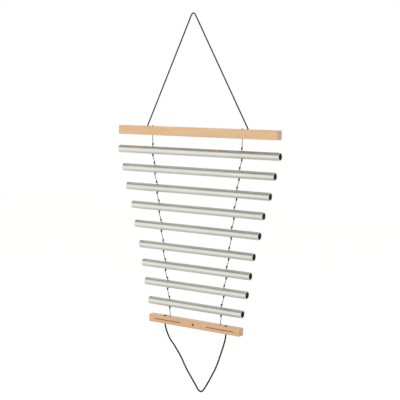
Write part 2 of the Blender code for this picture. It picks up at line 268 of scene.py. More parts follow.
def braided_rings(line, radius, pitch, braid):
    """Rings round a line, and the strand counts at their points.

    A braid is its strands in each family, the points round the cord, and its relief: the share
    of the radius by which the cord dips between its strands.
    """
    strands, sides, relief = braid
    side, second_side = frames_along(line)
    around = np.linspace(0.0, 2 * np.pi, sides + 1)[None, :]
    along = distance_along(line)[:, None]
    first, second = braid_counts(around, along, strands, pitch)
    dip = relief * (1 - braid_height(first, second))
    reach = (np.broadcast_to(radius, len(line))[:, None] * (1 - dip))[:, :-1, None]
    angle = around[:, :-1, None]
    outward = np.cos(angle) * side[:, None] + np.sin(angle) * second_side[:, None]
    return line[:, None] + reach * outward, np.stack([first, second], axis=-1)


crown, groove = braid_height(0.5, 0.5), braid_height(0.5, 1.0)
print(f"the braid's height is {crown:.0f} on a strand's crown and {groove:.0f} in the groove beside it")

# %% [markdown]
# ## Tying the knots
# A knot drawn by hand from arcs never looks tight. Here it is tied as on the bench: a loose
# knot is laid out, and then the cord is shortened little by little while it may not pass
# through itself, until it locks. The side cords have double overhand knots, with the end
# wrapped two and a half times, and the thick cords have a single wrap. All are worked out for a
# cord one unit thick, and scaled to each cord afterwards.

# %% A loose knot
WRAP_RISE = 1.15                                 # how far one wrap lies above the last, in cord widths
LOOSE_WRAP = (1.75, 1.35)                        # half the loose wraps' width and depth
LOOSE_TAIL = 2.2                                 # what a tail reaches past the wraps
LOOSE_SPACING = 0.08
LOOSE_EASING = 40                                # rounds of easing before the knot is drawn tight
COIL_POINTS = 60                                 # points a wrap, in the coil as it is laid out
KNOT_POINTS = 52                                 # and in the whole knot, shared out evenly


def loose_knot(wraps):
    """A helix round two strands: the cord comes down inside it, turns up outside and wraps down."""
    half = wraps * WRAP_RISE / 2
    turn = np.linspace(np.pi, np.pi + wraps * 2 * np.pi, round(COIL_POINTS * wraps))
    wide, deep = LOOSE_WRAP
    rise = np.linspace(-half, half, len(turn))
    coil = np.stack([wide * np.cos(turn), deep * np.sin(turn), rise], axis=1)
    inner = np.array([
        (0.0, 0.0, wraps + LOOSE_TAIL), (-0.2, 0.0, half + 1.5), (-0.52, 0.05, half),
        (-0.52, 0.05, -half), (-0.7, 0.05, -half - 0.9), (-1.3, 0.05, -half - 0.9),
    ])
    line = np.concatenate([even_points(inner, LOOSE_SPACING), coil,
                           even_points(-inner[::-1], LOOSE_SPACING)])
    line = relax(line, LOOSE_EASING)
    return even_points(line, distance_along(line)[-1] / (KNOT_POINTS * wraps))


print(f"laid out, a knot of two and a half wraps is {distance_along(loose_knot(2.5))[-1]:.0f} cords long")

# %% [markdown]
# Drawing tight is a small calculation that is repeated many times. Every round asks for a
# slightly shorter cord. In a few steps each span is brought to its new length, bends are eased
# a little, and stretches that overlap are pushed apart, until the cord is back in balance.

# %% Draw a knot tight
SHRINK = 0.99                                    # each round's length over the last one's
SETTLING_STEPS = 4                               # in a round
STIFFNESS = 0.02                                 # how much a bend is eased in a step
PUSH = 1.4                                       # over 1, so that overlaps go in fewer steps
WATCHED = 1.5                                    # points nearer than this are watched for touching
NEIGHBOURS = 1.7                                 # but not those so near along the cord
LIST_ROUNDS = 10                                 # how long a list of watched points serves
DRIFT = 0.05                                     # how fast the ends move over the knot's middle


def push_apart(line, low, high):
    """Move points that are nearer than one cord's width apart until they touch."""
    way = line[high] - line[low]
    apart = np.linalg.norm(way, axis=1, keepdims=True)
    push = 0.5 * np.maximum(0.0, 1 - apart) / apart * way
    touching = (apart[:, 0] < 1).astype(float)
    move = np.zeros_like(line)
    np.add.at(move, high, push)
    np.add.at(move, low, -push)
    hits = np.bincount(low, touching, len(line)) + np.bincount(high, touching, len(line))
    line += PUSH * move / np.maximum(1, hits)[:, None]


def even_spans(line, rest):
    """Bring every span to its length, even ones first and then odd ones, each end moving half."""
    for start in (0, 1):
        pairs = (len(line) - start) // 2
        lower = line[start:start + 2 * pairs:2]
        upper = line[start + 1:start + 2 * pairs:2]
        way = upper - lower
        fix = 0.5 * (1 - rest / np.linalg.norm(way, axis=1, keepdims=True)) * way
        lower += fix
        upper -= fix


def draw_tight(line, rounds):
    """Shorten a knotted line by a hundredth a round, its ends held, and keep it off itself."""
    first, last = line[0].copy(), line[-1].copy()
    low, high = np.triu_indices(len(line), 2)
    third = len(line) // 3
    for n in range(rounds):
        rest = SHRINK * distance_along(line)[-1] / (len(line) - 1)
        if n % LIST_ROUNDS == 0:
            near = np.linalg.norm(line[high] - line[low], axis=1) < WATCHED
            near &= (high - low) * rest > NEIGHBOURS
            near_low, near_high = low[near], high[near]
        for _ in range(SETTLING_STEPS):
            even_spans(line, rest)
            line[1:-1] += STIFFNESS * (line[:-2] - 2 * line[1:-1] + line[2:])
            push_apart(line, near_low, near_high)
            push_apart(line, near_low, near_high)
            first[:2] += DRIFT * (line[third:-third, :2].mean(axis=0) - first[:2])
            last[:2] = first[:2]
            line[0], line[-1] = first, last
    line[:, :2] -= first[:2]
    return line


print(f"each of a tight knot's rounds shortens the cord by {1 - SHRINK:.0%}, in {SETTLING_STEPS} steps")

# %% [markdown]
# Two knots serve for all. The load pulls those of the side cords slim, and those of the thick
# cords are pressed into their seats. A knot is placed by a turn about its own axis and a lean
# with its cord, and as much of its tails is kept as its place needs.

# %% The two knots and their places
OFF_AXIS = 0.75                                  # past this distance from the axis a point is in a wrap


def tied_knot(wraps, rounds):
    """A tight knot's line in cord widths, from above to below, with its middle at zero height."""
    line = draw_tight(loose_knot(wraps), rounds)
    wide = np.linalg.norm(line[:, :2], axis=1) > OFF_AXIS
    line[:, 2] -= (line[wide, 2].min() + line[wide, 2].max()) / 2
    size = np.ptp(line, axis=0) + 1
    size[2] = np.ptp(line[wide, 2]) + 1
    print(f"a knot of {wraps} wraps is {size[0]:.2f} by {size[1]:.2f} cords wide and {size[2]:.2f} tall")
    return line


PULLED = (0.86, 0.86, 1.0)                       # how slim the load makes a side cord's knots
SEATED = (1.0, 1.0, 0.9)                         # and how flat the thick cords' knots are pressed
DOUBLE_KNOT = tied_knot(2.5, 1300) * PULLED
SINGLE_KNOT = tied_knot(1.5, 900) * SEATED


def turned_by(angle, first, second):
    """Two coordinates after a turn: each is mixed from both by the angle's cosine and sine."""
    cosine, sine = math.cos(angle), math.sin(angle)
    return first * cosine - second * sine, first * sine + second * cosine


def place_knot(knot, width, centre, turn, lean, keep_above, keep_below):
    """Scale a knot to a cord's width, turn it about its axis, lean the axis in X and place it.

    Only so many cord widths of the two tails are kept.
    """
    kept = knot[(knot[:, 2] < keep_above) & (knot[:, 2] > -keep_below)] * width
    x, y = turned_by(turn, kept[:, 0], kept[:, 1])
    x, z = turned_by(lean, x, kept[:, 2])
    return np.stack([x, y, z], axis=1) + centre


# %% [markdown]
# ## Finishes
# A finish is a small net of shader nodes. Colours and roughness come from patterns in the place
# on the piece, in metres, so that a grain is as fine as the real one. These helpers add a node
# and join it up in one line, so that a finish can be read from top to bottom.

# %% Helpers for materials
METRES_A_MILLIMETRE = 0.001


def new_finish(name):
    """A material with one Principled shader."""
    finish = bpy.data.materials.new(name)
    finish.use_nodes = True
    return finish, finish.node_tree, finish.node_tree.nodes["Principled BSDF"]


def plug(tree, socket, value):
    """Give a socket its value: a link where the value is another node's socket."""
    if isinstance(value, bpy.types.NodeSocket):
        tree.links.new(value, socket)
    else:
        socket.default_value = value


def plug_named(tree, node, values):
    """Give a node's inputs their values by name."""
    for name, value in values.items():
        plug(tree, node.inputs[name], value)


def add_node(tree, kind, *inputs, **settings):
    """Add a node and give its sockets their values in order."""
    node = tree.nodes.new("ShaderNode" + kind)
    for name, value in settings.items():
        setattr(node, name, value)
    for socket, value in zip(node.inputs, inputs):
        plug(tree, socket, value)
    return node


def work_out(tree, operation, *inputs):
    """A Math node's result."""
    return add_node(tree, "Math", *inputs, operation=operation).outputs[0]


def hypotenuse(tree, first, second):
    """The square root of the sum of two squares."""
    squares = [work_out(tree, "MULTIPLY", side, side) for side in (first, second)]
    return work_out(tree, "SQRT", work_out(tree, "ADD", *squares))


def rescale(tree, value, start, end, first, last, **settings):
    """The first value up to the start, the last past the end, and even change between them."""
    return add_node(tree, "MapRange", value, start, end, first, last, **settings).outputs[0]


def object_place(tree):
    """The place on the piece, in metres."""
    return add_node(tree, "TexCoord").outputs["Object"]


def stretched(tree, place, cells):
    """A place counted in cells, so many a metre in X, Y and Z."""
    mapping = add_node(tree, "Mapping", place)
    plug_named(tree, mapping, {"Scale": cells})
    return mapping.outputs[0]


def stretched_noise(tree, place, cells, detail=2.0):
    """Noise from 0 to 1 with so many cells a metre in X, Y and Z."""
    noise = add_node(tree, "TexNoise", stretched(tree, place, cells))
    plug_named(tree, noise, {"Scale": 1.0, "Detail": detail, "Roughness": 0.5})
    return noise.outputs[0]


def blend_colours(tree, share, first, second):
    """The first colour where the share is 0 and the second where it is 1."""
    mix = add_node(tree, "Mix", share, data_type="RGBA")
    for socket, colour in zip(mix.inputs[6:8], (first, second)):
        plug(tree, socket, (*colour, 1.0) if isinstance(colour, tuple) else colour)
    return mix.outputs[2]


def set_bump(tree, shader, height, distance):
    """Let a height from 0 to 1 tilt the surface as a relief so many metres deep would."""
    bump = add_node(tree, "Bump")
    plug_named(tree, bump, {"Distance": distance, "Height": height})
    plug_named(tree, shader, {"Normal": bump.outputs[0]})


print("a relief is given in metres: a hundredth of a millimetre is", 0.01 * METRES_A_MILLIMETRE)

# %% [markdown]
# ## The cords' finish
# The cords are braided black polyester. Polyester has a soft sheen and its filaments run along
# each strand, so the finish reads the strand counts that the mesh carries as its UV map: they say
# which family is on top, and fine lines are drawn along that family. The colour is nearly
# black; a real black braid sends back about one part in a hundred.

# %% Finishes of the cords
def make_cord_finish(name, dark, light, filaments):
    """Black braid: filament lines along the strand on top, and strands that differ a little."""
    finish, tree, shader = new_finish(name)
    counts = add_node(tree, "SeparateXYZ", add_node(tree, "UVMap", uv_map="pattern").outputs[0]).outputs
    whole = work_out(tree, "ADD", work_out(tree, "FLOOR", counts[0]), work_out(tree, "FLOOR", counts[1]))
    second_on_top = work_out(tree, "PINGPONG", whole, 1.0)
    across = add_node(tree, "Mix", second_on_top, data_type="FLOAT")
    plug(tree, across.inputs[2], counts[0])
    plug(tree, across.inputs[3], counts[1])
    across = across.outputs[0]
    lines = work_out(tree, "SINE", work_out(tree, "MULTIPLY", across, filaments * 2 * math.pi))
    strand = add_node(tree, "TexWhiteNoise", noise_dimensions="1D")
    plug_named(tree, strand, {"W": work_out(tree, "FLOOR", across)})
    strand_tone = work_out(tree, "MULTIPLY_ADD", strand.outputs[0], 0.5, 0.25)
    tone = work_out(tree, "MULTIPLY_ADD", lines, 0.2, strand_tone)
    plug_named(tree, shader, {"Base Color": blend_colours(tree, tone, dark, light), "Roughness": 0.6,
                              "Specular IOR Level": 0.12})
    set_bump(tree, shader, lines, 0.02 * METRES_A_MILLIMETRE)
    return finish


hanging_finish = make_cord_finish("hanging_braid", (0.003, 0.003, 0.0035), (0.013, 0.013, 0.014), 6)
handle_finish = make_cord_finish("handle_braid", (0.002, 0.002, 0.0025), (0.009, 0.009, 0.010), 7)
side_finish = make_cord_finish("side_braid", (0.003, 0.003, 0.0035), (0.013, 0.013, 0.014), 4)
print("finishes for the hanging cord, the handle cord and the side cords")

# %% [markdown]
# ## The hanging cord and the handle cord
# Both are free cords: one open length each, seen from end to end. The hanging cord lies over
# the hook at the origin, and its two legs are pulled straight by the weight of the chimes. The
# handle cord is thicker and stiff enough to hang in a pointed loop. Their routes are the
# same points as in the solids, with one more at either end, inside the bar's hole.
# A cord is fixed in its bar and turns just above it.

# %% Hanging cord and handle cord
SIDES = (("left", -1), ("right", 1))
SIDE_CORD = 0.00075                              # the cords, by radius
HANGING_CORD = 0.0015
HANDLE_CORD = 0.0018
HANGING_PITCH = 0.0011                           # how far one strand lies along the cord from the next
HANDLE_PITCH = 0.0013
SIDE_PITCH = 0.0008
HANGING_SPACING = 0.00028                        # from ring to ring
HANDLE_SPACING = 0.00032
SIDE_SPACING = 0.00022
END_SPACING = 0.0003
END_EASING = 4                                   # rounds of easing after a knot is joined to its cord
SIDE_EASING = 6
THICK_BRAID = (6, 36, 0.12)                      # strands in a family, points round the cord, relief
SIDE_BRAID = (4, 16, 0.14)
IN_THE_HOLE = 0.003                              # how far a free cord runs on inside its bar

HANGING_ROUTE = (
    (-0.1220, -0.2432), (-0.1010, -0.2000), (-0.0767, -0.1500), (-0.0524, -0.1000),
    (-0.0305, -0.0550), (-0.0159, -0.0250), (-0.0077, -0.0080), (-0.0047, -0.0019),
    (-0.0026, 0.0006), (0.0003, 0.0015), (0.0031, 0.0007), (0.0052, -0.0016),
    (0.0088, -0.0080), (0.0183, -0.0250), (0.0350, -0.0550), (0.0601, -0.1000),
    (0.0880, -0.1500), (0.1159, -0.2000), (0.1400, -0.2432),
)
HANDLE_ROUTE = (
    (-0.0820, -0.0021), (-0.0806, -0.0095), (-0.0773, -0.0190), (-0.0725, -0.0285),
    (-0.0662, -0.0377), (-0.0574, -0.0473), (-0.0489, -0.0577), (-0.0406, -0.0684),
    (-0.0339, -0.0788), (-0.0276, -0.0895), (-0.0208, -0.1001), (-0.0132, -0.1104),
    (-0.0056, -0.1206), (0.0012, -0.1295), (0.0058, -0.1359), (0.0106, -0.1417),
    (0.0168, -0.1445), (0.0228, -0.1409), (0.0276, -0.1341), (0.0336, -0.1245),
    (0.0405, -0.1123), (0.0476, -0.0993), (0.0544, -0.0865), (0.0598, -0.0742),
    (0.0645, -0.0619), (0.0688, -0.0499), (0.0730, -0.0379), (0.0769, -0.0257),
    (0.0802, -0.0139), (0.0820, -0.0021),
)
TOP_BAR_LOW, TOP_BAR_HIGH = box_corners("top_bar")
BOTTOM_BAR_LOW, BOTTOM_BAR_HIGH = box_corners("bottom_bar")
LADDER_MIDDLE = middle("top_bar")[0]


def free_line(route, start, entry, spacing):
    """A free cord's line from its route in X and Z, run on straight to the height of entry."""
    points = [(x + start[0], 0.0, z + start[1]) for x, z in route]
    first, last = points[0], points[-1]
    deep = [(first[0], 0.0, first[2] + (entry - first[2]) * share) for share in (1.0, 0.5)]
    far = [(last[0], 0.0, last[2] + (entry - last[2]) * share) for share in (0.5, 1.0)]
    return smooth_line(deep + points + far, spacing)


def free_cord(name, line, radius, pitch, finish):
    """Braid a free cord along its line, and hide its solid."""
    rings, pattern = braided_rings(line, radius, pitch, THICK_BRAID)
    piece = join_rings(f"{name}_braid", rings, [finish], pattern=pattern)
    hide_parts(f"{name}_cord")
    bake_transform(piece)
    print(f"{name} cord: {distance_along(line)[-1]:.4f} m with its ends in the bar")
    return piece


hanging_line = free_line(HANGING_ROUTE, (0.0, 0.0), TOP_BAR_HIGH[2] - IN_THE_HOLE, HANGING_SPACING)
hanging_braid = free_cord("hanging", hanging_line, HANGING_CORD, HANGING_PITCH, hanging_finish)

handle_start = (LADDER_MIDDLE, BOTTOM_BAR_LOW[2])
handle_line = free_line(HANDLE_ROUTE, handle_start, BOTTOM_BAR_LOW[2] + IN_THE_HOLE, HANDLE_SPACING)
handle_braid = free_cord("handle", handle_line, HANDLE_CORD, HANDLE_PITCH, handle_finish)

# %% [markdown]
# ## The knots at the ends of the thick cords
# The hanging cord comes down through the top bar and its knots are drawn up into pockets under
# it. The handle cord comes up through the bottom bar and its knots lie in pockets in the
# upper face, where they show as dark ovals. A knot pulled this tight squeezes its cord, so the
# line is tied with a thinner one, which grows to its full width again in the bar's hole.

# %% End knots of the thick cords
KNOT_FILL = 0.62                                 # drawn radius over a knot's width: strands flatten
KNOT_LEAD = 2.6                                  # cord widths kept of the end that the cord comes in by
STUB = 1.35                                      # and of a cut end, from the knot's middle
SWELL_LENGTH = 0.0015                            # over which a cord grows to its width past a knot
HANGING_KNOT_HALF = 0.0030                       # half the heights of the knots' solids
HANDLE_KNOT_HALF = 0.0033
PROUD = 0.0016                                   # how far a knot's solid stands out of a bar's upper face
HIDDEN = 0.0010                                  # and how deep it lies in a bar's underside
SETTLED = 0.0004                                 # how much lower the drawn knots sit in the upper faces
HANGING_KNOT_TURN = 0.4                          # how the knots are turned, in radians
HANDLE_KNOT_TURN = math.radians(90)
HANDLE_KNOT_SKEW = math.radians(20)

# each cord's radius, its width where a knot squeezes it, its braid's pitch, its finish and slot, its bar
HANGING_END = (HANGING_CORD, 0.00215, HANGING_PITCH, hanging_finish, "hanging_cord", "top_bar")
HANDLE_END = (HANDLE_CORD, 0.0024, HANDLE_PITCH, handle_finish, "handle_cord", "bottom_bar")


def knotted_end(name, node, cord, knot_z, from_z, turn):
    """The end of a thick cord: from a height in its bar's hole to the knot and its cut stub.

    The knot is turned about its axis, and stands on its head where the cord comes from below.
    """
    radius, tight_width, pitch, finish, slot, bar = cord
    centre = np.array([middle(node)[0], 0.0, knot_z])
    sign = 1.0 if from_z > knot_z else -1.0
    knot = place_knot(SINGLE_KNOT, tight_width, (0.0, 0.0, 0.0), turn, 0.0, KNOT_LEAD, STUB)
    knot[:, 1:] *= sign
    line = np.concatenate([[(centre[0], 0.0, from_z)], knot + centre])
    with_radius = np.column_stack([line, np.full(len(line), KNOT_FILL * tight_width)])
    with_radius[0, 3] = radius
    swell_at = with_radius[1].copy()
    swell_at[2] += sign * SWELL_LENGTH
    swell_at[3] = radius
    with_radius = np.insert(with_radius, 1, swell_at, axis=0)
    fine = relax(even_points(with_radius, END_SPACING), END_EASING)
    rings, pattern = braided_rings(fine[:, :3], fine[:, 3], pitch, THICK_BRAID)
    piece = join_rings(name, rings, [finish], pattern=pattern)
    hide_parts(node)
    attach(piece, bar)


for side, sign in SIDES:
    knotted_end(f"hanging_end_{side}", f"hanging_knot_{side}", HANGING_END,
                TOP_BAR_LOW[2] + HIDDEN + HANGING_KNOT_HALF, TOP_BAR_HIGH[2] - IN_THE_HOLE,
                HANGING_KNOT_TURN * sign)
    knotted_end(f"handle_end_{side}", f"handle_knot_{side}", HANDLE_END,
                BOTTOM_BAR_HIGH[2] + PROUD - HANDLE_KNOT_HALF - SETTLED, BOTTOM_BAR_LOW[2] + IN_THE_HOLE,
                HANDLE_KNOT_TURN + HANDLE_KNOT_SKEW * sign)
print("four knots at the ends of the thick cords")

# %% [markdown]
# ## The side cords
# Each side cord is one length with twenty knots: one on the top bar, a knot above and a knot
# under every tube, and one hidden under the bottom bar. It is laid out as one line, from
# station to station, so that the braid runs on through knots and holes. A cord drawn into a
# knot is thinner than a free one, so every station has its own radius. The knots are turned
# differently, as hand-tied ones are.

# %% Lay out a side cord
TUBE_COUNT = 9
SIDE_KNOT_HALF = 0.0023
UPPER_KNOT_HEIGHT = 0.0041                       # of the knot above a tube, over the tube's hinge
TIGHT_SIDE_CORD = 0.0013
KNOT_TAIL = 2.3                                  # cord widths kept of a knot's tails
TOP_STUB = STUB + 0.25                           # and of the cut ends over the top bar
FOOT_STUB = STUB + 0.75                          # and under the bottom bar
FIRST_TURN = 0.7                                 # radians, of the knot on the top bar
TURN_STEP = 2.4                                  # and from one knot to the next


def full_width(point):
    """One station of the cord at its full width: a point and a radius."""
    return np.append(point, SIDE_CORD)[None]


def add_straight(stations, target):
    """Let the cord swell to its full width on the way from its last station to a target."""
    last = stations[-1][-1, :3]
    way = target - last
    stations.append(full_width(last + way * min(0.5, SWELL_LENGTH / np.linalg.norm(way))))


def add_knot(stations, centre, turn, lean=0.0, above=KNOT_TAIL, below=KNOT_TAIL):
    """A double knot about a centre. The cord thins just before it."""
    knot = place_knot(DOUBLE_KNOT, TIGHT_SIDE_CORD, centre, turn, lean, above, below)
    if stations:
        add_straight(stations, knot[0])
        way = knot[0] - stations[-1][-1, :3]
        stations.append(full_width(knot[0] - way / np.linalg.norm(way) * SWELL_LENGTH))
    stations.append(np.column_stack([knot, np.full(len(knot), KNOT_FILL * TIGHT_SIDE_CORD)]))


def add_corner(stations, corner):
    """A place where the full-width cord may change its direction."""
    add_straight(stations, corner)
    stations.append(full_width(corner))


def side_line(side, sign):
    """The whole of one side cord: points and radius, from its end on the top bar to its last knot."""
    top_x = middle(f"top_knot_{side}")[0]
    foot_x = middle(f"foot_knot_{side}")[0]
    stations = []
    turn = FIRST_TURN * sign
    top_centre = np.array([top_x, 0.0, TOP_BAR_HIGH[2] + PROUD - SIDE_KNOT_HALF - SETTLED])
    add_knot(stations, top_centre, turn, above=TOP_STUB)
    last_x = top_x
    for number in range(1, TUBE_COUNT + 1):
        carrying_knot = f"tube_knot_{side}_{number}"
        tube_x = middle(carrying_knot)[0]
        start = np.array([last_x, 0.0, HINGE[f"cords_{number}_swing"][2]])
        end = np.array([tube_x, 0.0, HINGE[f"tube_{number}_swing"][2]])
        add_corner(stations, start)
        way = (end - start) / np.linalg.norm(end - start)
        lean = math.asin(-way[0])
        turn += TURN_STEP * sign
        add_knot(stations, end - way * UPPER_KNOT_HEIGHT, turn, -lean)
        add_corner(stations, end)
        turn += TURN_STEP * sign
        carry_z = box_corners(carrying_knot)[0, 2] + SIDE_KNOT_HALF
        add_knot(stations, np.array([tube_x, 0.0, carry_z]), turn)
        last_x = tube_x
    add_corner(stations, np.array([last_x, 0.0, HINGE[f"cords_{TUBE_COUNT + 1}_swing"][2]]))
    add_corner(stations, np.array([foot_x, 0.0, HINGE["bottom_bar_tilt"][2]]))
    foot_z = box_corners(f"foot_knot_{side}")[0, 2] + SIDE_KNOT_HALF
    add_knot(stations, np.array([foot_x, 0.0, foot_z]), turn + TURN_STEP, below=FOOT_STUB)
    return relax(even_points(np.concatenate(stations), SIDE_SPACING), SIDE_EASING)


side_lines = {side: side_line(side, sign) for side, sign in SIDES}
for side, line in side_lines.items():
    print(f"{side} cord: {distance_along(line[:, :3])[-1]:.3f} m with its knots")

# %% [markdown]
# The line is swept once and then sliced where the cord moves: one slice ends inside a tube,
# above its axis, and the next ends just under the hinge below the tube's knot.
# Neighbouring slices share their last ring. A knot's wraps go up and down, so a cut is the place
# where the line passes a height for the last time, which is always in a straight stretch.

# %% Sweep and slice the side cords
PAST_HINGE = 0.0020                              # where a slice ends under the hinge that it crosses
PAST_FOOT_HINGE = 0.0040                         # in the bottom bar, where there is more room
IN_THE_TUBE = 0.0040                             # and above the axis of the tube that it enters


def slice_ends(line, heights):
    """The index of the last point above each height."""
    return [int(np.flatnonzero(line[:, 2] > height)[-1]) for height in heights]


def side_slices(side):
    """Each slice's name, the node that it stands for, the joint where it is cut and its foot's height."""
    slices = [(f"{side}_top", f"top_knot_{side}", "cords_1_swing", -PAST_HINGE)]
    for number in range(1, TUBE_COUNT + 1):
        joint = f"tube_{number}_swing"
        above_axis = HINGE[joint][2] - middle(f"tube_{number}")[2]
        slices.append((f"{side}_lead_{number}", f"side_cord_{side}_{number}", joint,
                       IN_THE_TUBE - above_axis))
        joint = f"cords_{number + 1}_swing"
        slices.append((f"{side}_carry_{number}", f"tube_knot_{side}_{number}", joint, -PAST_HINGE))
    number = TUBE_COUNT + 1
    slices.append((f"{side}_lead_{number}", f"side_cord_{side}_{number}", "bottom_bar_tilt",
                   -PAST_FOOT_HINGE))
    slices.append((f"{side}_foot", f"foot_knot_{side}", None, None))
    return slices


for side, stations in side_lines.items():
    line = stations[:, :3]
    rings, pattern = braided_rings(line, stations[:, 3], SIDE_PITCH, SIDE_BRAID)
    slices = side_slices(side)
    heights = [HINGE[joint][2] + rise for name, node, joint, rise in slices if joint]
    cuts = [0] + slice_ends(line, heights) + [len(line) - 1]
    for (name, node, joint, rise), begin, end in zip(slices, cuts, cuts[1:]):
        kept = slice(begin, end + 1)
        piece = join_rings(name, rings[kept], [side_finish], pattern=pattern[kept])
        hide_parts(node)
        if joint:
            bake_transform(piece)
        else:
            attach(piece, "bottom_bar")
    print(f"{side} cord: {len(slices)} slices")

# %% [markdown]
# ## Drawn aluminium
# The tubes are drawn through a die, which leaves fine lines along them, and then finished to a
# satin. Metal has no colour of its own to speak of: it shows its surroundings, so the base
# colour is a nearly flat light grey and the detail is in the roughness and in the lines' bump.
# The inside is left as drawn, so it is rougher; its much darker base colour is painted shade for the depth of the
# bore. The sawn ends have been faced and are brighter.

# %% Finishes of the tubes
LINE_DEPTH = 0.025 * METRES_A_MILLIMETRE         # of the lines that the die leaves along a tube


def make_aluminium(name, colour, smooth, rough, line_depth):
    """Satin metal: roughness in long streaks, faint cloudy tone and fine lines along the tube."""
    finish, tree, shader = new_finish(name)
    place = object_place(tree)
    streaks = stretched_noise(tree, place, (5.0, 700.0, 700.0), 3.0)
    clouds = stretched_noise(tree, place, (22.0, 90.0, 90.0), 3.0)
    lines = stretched_noise(tree, place, (14.0, 3200.0, 3200.0), 1.0)
    tone = rescale(tree, work_out(tree, "ADD", streaks, clouds), 0.7, 1.3, 0.0, 1.0)
    darker = tuple(0.88 * channel for channel in colour)
    plug_named(tree, shader, {"Base Color": blend_colours(tree, tone, darker, colour), "Metallic": 1.0,
                              "Roughness": rescale(tree, tone, 0.0, 1.0, smooth, rough)})
    set_bump(tree, shader, work_out(tree, "ADD", streaks, lines), line_depth)
    return finish


tube_finish = make_aluminium("drawn_aluminium", (0.85, 0.855, 0.81), 0.24, 0.36, LINE_DEPTH)
# the bore's dark base colour is painted shade inside the tube, not the metal's own colour
bore_painted_shade_finish = make_aluminium("bore", (0.30, 0.30, 0.29), 0.5, 0.65, 0.8 * LINE_DEPTH)
rim_finish = make_aluminium("faced_end", (0.86, 0.86, 0.84), 0.3, 0.42, 0.4 * LINE_DEPTH)
print("finishes for the tubes' skin, bore and ends")

# %% [markdown]
# ## The tubes
# A tube is its wall's outline turned about the tube's axis. The outline is closed: out along the
# outside, round the chamfer, over the faced end and back through the bore. Turning needs many
# flat sides to pass for round, and how many is plain to work out: a side lies inside the circle
# by the radius times one less the cosine of half its angle.

# %% Turned surfaces and cuts
TUBE_RADIUS = 0.0088
TUBE_SIDES = 96
CROSS_HOLE = 0.00125
HOLE_SIDES = 32


def turn_outline(centre, outline, sides, axis):
    """Rings of an outline of (distance, radius) about an axis through a centre: 0 is X, 1 Y and 2 Z.

    A ring's points are the radius times the cosine and sine of even angles, square to the axis.
    """
    along, across, other = (np.eye(3)[(axis + i) % 3] for i in range(3))
    distance, radius = np.array(outline, float).T
    angle = np.linspace(0.0, 2 * np.pi, sides, endpoint=False)
    circle = np.cos(angle)[:, None] * across + np.sin(angle)[:, None] * other
    return np.array(centre) + distance[:, None, None] * along + radius[:, None, None] * circle[None]


def cut_away(piece, cutters):
    """Take the cutters' shapes out of a piece; the cut faces keep the cutters' finishes."""
    for cutter in cutters:
        cut = piece.modifiers.new(cutter.name, "BOOLEAN")
        cut.operation = "DIFFERENCE"
        cut.solver = "EXACT"
        cut.material_mode = "TRANSFER"
        cut.object = cutter
    bpy.context.view_layer.update()
    evaluated = piece.evaluated_get(bpy.context.evaluated_depsgraph_get())
    mesh = bpy.data.meshes.new_from_object(evaluated)
    piece.modifiers.clear()
    old = piece.data
    piece.data = mesh
    bpy.data.meshes.remove(old)
    mesh.name = piece.name
    for cutter in cutters:
        bpy.data.objects.remove(cutter)


def sharpen(piece, degrees):
    """Keep edges sharper than an angle crisp, and shade the rest smooth."""
    piece.data.shade_smooth()
    piece.data.set_sharp_from_angle(angle=math.radians(degrees))


for name, radius, sides in (("tube", TUBE_RADIUS, TUBE_SIDES), ("cord hole", CROSS_HOLE, HOLE_SIDES)):
    print(f"a {name}'s sides lie {1e6 * radius * (1 - math.cos(math.pi / sides)):.0f} micrometres inside")

# %% [markdown]
# The two cross holes are real holes through both walls, cut with turned drills that widen a
# little at the skin, as a hole does when its burr is taken off. The outline has extra points
# beside the holes, so that the long flat faces aren't drawn out across them.

# %% Tubes
TUBE_BORE = 0.0073
RIM_CHAMFER = 0.0003
BORE_CHAMFER = 0.00015
HOLE_EASE = 0.00022                              # how much a hole widens at the tube's skin
PAST_SKIN = 0.002                                # how far the drill reaches out of the tube
STATIONS = (0.004, 0.012)                        # rings either side of a hole and behind the ends

UPPER_DRILL = [(TUBE_RADIUS - 2 * HOLE_EASE, CROSS_HOLE), (TUBE_RADIUS, CROSS_HOLE + HOLE_EASE),
               (TUBE_RADIUS + PAST_SKIN, CROSS_HOLE + HOLE_EASE + PAST_SKIN / 2)]
DRILL = [(-distance, radius) for distance, radius in reversed(UPPER_DRILL)] + UPPER_DRILL


def tube_outline(half, hole_distance):
    """The wall's outline as (distance, radius, finish of the face after it) in a closed loop."""
    right = {hole_distance + way * step for way in (-1, 1) for step in STATIONS} | {half - STATIONS[1]}
    places = sorted(right | {-place for place in right} | {0.0})
    outline = [(-half + RIM_CHAMFER, TUBE_RADIUS, 0)]
    outline += [(place, TUBE_RADIUS, 0) for place in places]
    outline += [(half - RIM_CHAMFER, TUBE_RADIUS, 2), (half, TUBE_RADIUS - RIM_CHAMFER, 2),
                (half, TUBE_BORE + BORE_CHAMFER, 2), (half - BORE_CHAMFER, TUBE_BORE, 1)]
    outline += [(place, TUBE_BORE, 1) for place in reversed(places)]
    outline += [(BORE_CHAMFER - half, TUBE_BORE, 2), (-half, TUBE_BORE + BORE_CHAMFER, 2),
                (-half, TUBE_RADIUS - RIM_CHAMFER, 2)]
    return outline


